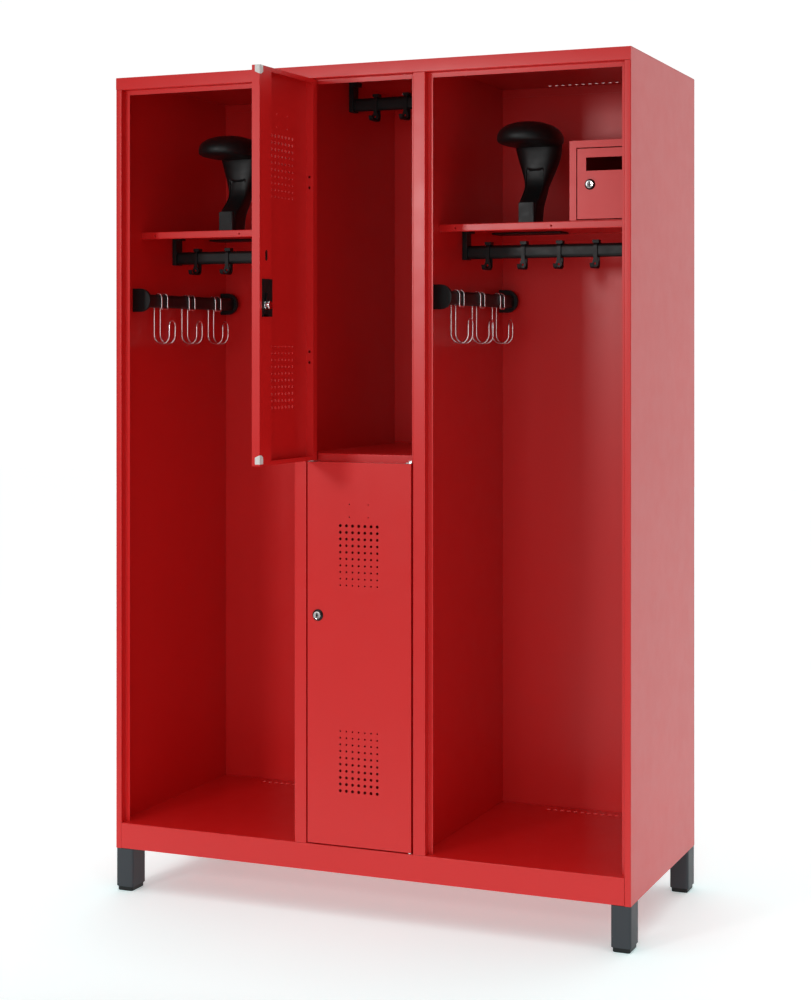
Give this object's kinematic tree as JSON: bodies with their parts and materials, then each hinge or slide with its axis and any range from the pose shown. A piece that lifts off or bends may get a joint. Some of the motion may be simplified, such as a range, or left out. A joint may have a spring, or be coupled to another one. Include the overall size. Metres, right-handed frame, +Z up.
{
  "type": "wardrobe locker",
  "caption": "Free-standing steel wardrobe locker on legs: open outer bays with helmet holders, rails and hooks, a middle bay with perforated lockable doors, and a small valuables box.",
  "frame": {"origin": "floor level, middle of the box around the cabinet and its open upper door", "axes": "+Z up, +Y towards the back of the cabinet, +X to the right seen from the front"},
  "size_m": [1.2, 0.731, 1.82],
  "materials": {
    "red_coating": "smooth satin powder coating",
    "anthracite_coating": "smooth satin powder coating",
    "black_plastic": "moulded, soft sheen",
    "bright_steel": "zinc plated",
    "chrome": "polished plating",
    "white_plastic": "moulded door buffers"
  },
  "bodies": {
    "cabinet": {"side_panel_left": "red_coating", "side_panel_right": "red_coating", "top_panel": "red_coating", "floor_panel": "red_coating", "back_panel": "red_coating", "partition_left": "red_coating", "partition_right": "red_coating", "middle_shelf": "red_coating", "hat_shelf_left": "red_coating", "hat_shelf_right": "red_coating", "leg_front_left": "anthracite_coating", "leg_front_right": "anthracite_coating", "leg_rear_left": "anthracite_coating", "leg_rear_right": "anthracite_coating", "glide_front_left": "black_plastic", "glide_front_right": "black_plastic", "glide_rear_left": "black_plastic", "glide_rear_right": "black_plastic", "pivot_top": "bright_steel", "pivot_bottom": "bright_steel", "pivot_middle_left": "bright_steel", "pivot_middle_right": "bright_steel", "hanging_rail_left": "black_plastic", "hanging_rail_right": "black_plastic", "hanging_rail_upper": "black_plastic", "hanging_rail_lower": "black_plastic", "side_bar_left": "black_plastic", "side_bar_right": "black_plastic", "helmet_holder_left": "black_plastic", "helmet_holder_right": "black_plastic", "valuables_box": "red_coating"},
    "upper_door": {"upper_door": "red_coating", "upper_lock_case": "black_plastic"},
    "lower_door": {"lower_door": "red_coating", "lower_lock_case": "black_plastic"},
    "valuables_door": {"valuables_door": "red_coating"},
    "upper_lock": {"upper_lock_plug": "chrome"},
    "lower_lock": {"lower_lock_plug": "chrome"},
    "valuables_lock": {"valuables_lock_plug": "chrome"},
    "coat_hook_left_1": {"coat_hook_left_1": "black_plastic"},
    "coat_hook_left_2": {"coat_hook_left_2": "black_plastic"},
    "coat_hook_left_3": {"coat_hook_left_3": "black_plastic"},
    "coat_hook_left_4": {"coat_hook_left_4": "black_plastic"},
    "coat_hook_left_5": {"coat_hook_left_5": "black_plastic"},
    "coat_hook_right_1": {"coat_hook_right_1": "black_plastic"},
    "coat_hook_right_2": {"coat_hook_right_2": "black_plastic"},
    "coat_hook_right_3": {"coat_hook_right_3": "black_plastic"},
    "coat_hook_right_4": {"coat_hook_right_4": "black_plastic"},
    "coat_hook_right_5": {"coat_hook_right_5": "black_plastic"},
    "coat_hook_upper_1": {"coat_hook_upper_1": "black_plastic"},
    "coat_hook_upper_2": {"coat_hook_upper_2": "black_plastic"},
    "coat_hook_upper_3": {"coat_hook_upper_3": "black_plastic"},
    "coat_hook_lower_1": {"coat_hook_lower_1": "black_plastic"},
    "coat_hook_lower_2": {"coat_hook_lower_2": "black_plastic"},
    "wire_hook_left_1": {"wire_hook_left_1": "bright_steel"},
    "wire_hook_left_2": {"wire_hook_left_2": "bright_steel"},
    "wire_hook_left_3": {"wire_hook_left_3": "bright_steel"},
    "wire_hook_right_1": {"wire_hook_right_1": "bright_steel"},
    "wire_hook_right_2": {"wire_hook_right_2": "bright_steel"},
    "wire_hook_right_3": {"wire_hook_right_3": "bright_steel"}
  },
  "joints": [
    {"name": "upper_door_hinge", "type": "hinge", "parent": "cabinet", "child": "upper_door", "pos_m": [-0.116, -0.12845, 1.3823], "axis": [0, 0, -1], "range_deg": [-92.4, 17.6]},
    {"name": "lower_door_hinge", "type": "hinge", "parent": "cabinet", "child": "lower_door", "pos_m": [0.1156, -0.12845, 0.563], "axis": [0, 0, 1], "range_deg": [0, 110]},
    {"name": "valuables_door_hinge", "type": "hinge", "parent": "cabinet", "child": "valuables_door", "pos_m": [0.578, -0.02545, 1.5567], "axis": [0, 0, 1], "range_deg": [0, 82]},
    {"name": "upper_lock_turn", "type": "hinge", "parent": "upper_door", "child": "upper_lock", "pos_m": [-0.13089, -0.34031, 1.3023], "axis": [0.9991, -0.0419, 0], "range_deg": [0, 90]},
    {"name": "lower_lock_turn", "type": "hinge", "parent": "lower_door", "child": "lower_lock", "pos_m": [-0.0967, -0.13445, 0.643], "axis": [0, 1, 0], "range_deg": [0, 90]},
    {"name": "valuables_lock_turn", "type": "hinge", "parent": "valuables_door", "child": "valuables_lock", "pos_m": [0.48, -0.02845, 1.555], "axis": [0, 1, 0], "range_deg": [0, 90]},
    {"name": "coat_hook_left_1_slide", "type": "slide", "parent": "cabinet", "child": "coat_hook_left_1", "axis": [1, 0, 0], "range_m": [-0.032, 0.032]},
    {"name": "coat_hook_left_2_slide", "type": "slide", "parent": "cabinet", "child": "coat_hook_left_2", "axis": [1, 0, 0], "range_m": [-0.032, 0.032]},
    {"name": "coat_hook_left_3_slide", "type": "slide", "parent": "cabinet", "child": "coat_hook_left_3", "axis": [1, 0, 0], "range_m": [-0.032, 0.032]},
    {"name": "coat_hook_left_4_slide", "type": "slide", "parent": "cabinet", "child": "coat_hook_left_4", "axis": [1, 0, 0], "range_m": [-0.032, 0.032]},
    {"name": "coat_hook_left_5_slide", "type": "slide", "parent": "cabinet", "child": "coat_hook_left_5", "axis": [1, 0, 0], "range_m": [-0.032, 0.032]},
    {"name": "coat_hook_right_1_slide", "type": "slide", "parent": "cabinet", "child": "coat_hook_right_1", "axis": [1, 0, 0], "range_m": [-0.032, 0.032]},
    {"name": "coat_hook_right_2_slide", "type": "slide", "parent": "cabinet", "child": "coat_hook_right_2", "axis": [1, 0, 0], "range_m": [-0.032, 0.032]},
    {"name": "coat_hook_right_3_slide", "type": "slide", "parent": "cabinet", "child": "coat_hook_right_3", "axis": [1, 0, 0], "range_m": [-0.032, 0.032]},
    {"name": "coat_hook_right_4_slide", "type": "slide", "parent": "cabinet", "child": "coat_hook_right_4", "axis": [1, 0, 0], "range_m": [-0.032, 0.032]},
    {"name": "coat_hook_right_5_slide", "type": "slide", "parent": "cabinet", "child": "coat_hook_right_5", "axis": [1, 0, 0], "range_m": [-0.032, 0.032]},
    {"name": "coat_hook_upper_1_slide", "type": "slide", "parent": "cabinet", "child": "coat_hook_upper_1", "axis": [1, 0, 0], "range_m": [-0.029, 0.029]},
    {"name": "coat_hook_upper_2_slide", "type": "slide", "parent": "cabinet", "child": "coat_hook_upper_2", "axis": [1, 0, 0], "range_m": [-0.029, 0.029]},
    {"name": "coat_hook_upper_3_slide", "type": "slide", "parent": "cabinet", "child": "coat_hook_upper_3", "axis": [1, 0, 0], "range_m": [-0.029, 0.029]},
    {"name": "coat_hook_lower_1_slide", "type": "slide", "parent": "cabinet", "child": "coat_hook_lower_1", "axis": [1, 0, 0], "range_m": [-0.029, 0.029]},
    {"name": "coat_hook_lower_2_slide", "type": "slide", "parent": "cabinet", "child": "coat_hook_lower_2", "axis": [1, 0, 0], "range_m": [-0.029, 0.029]},
    {"name": "wire_hook_left_1_slide", "type": "slide", "parent": "cabinet", "child": "wire_hook_left_1", "axis": [0, 1, 0], "range_m": [-0.045, 0.045]},
    {"name": "wire_hook_left_2_slide", "type": "slide", "parent": "cabinet", "child": "wire_hook_left_2", "axis": [0, 1, 0], "range_m": [-0.045, 0.045]},
    {"name": "wire_hook_left_3_slide", "type": "slide", "parent": "cabinet", "child": "wire_hook_left_3", "axis": [0, 1, 0], "range_m": [-0.045, 0.045]},
    {"name": "wire_hook_right_1_slide", "type": "slide", "parent": "cabinet", "child": "wire_hook_right_1", "axis": [0, 1, 0], "range_m": [-0.045, 0.045]},
    {"name": "wire_hook_right_2_slide", "type": "slide", "parent": "cabinet", "child": "wire_hook_right_2", "axis": [0, 1, 0], "range_m": [-0.045, 0.045]},
    {"name": "wire_hook_right_3_slide", "type": "slide", "parent": "cabinet", "child": "wire_hook_right_3", "axis": [0, 1, 0], "range_m": [-0.045, 0.045]}
  ]
}
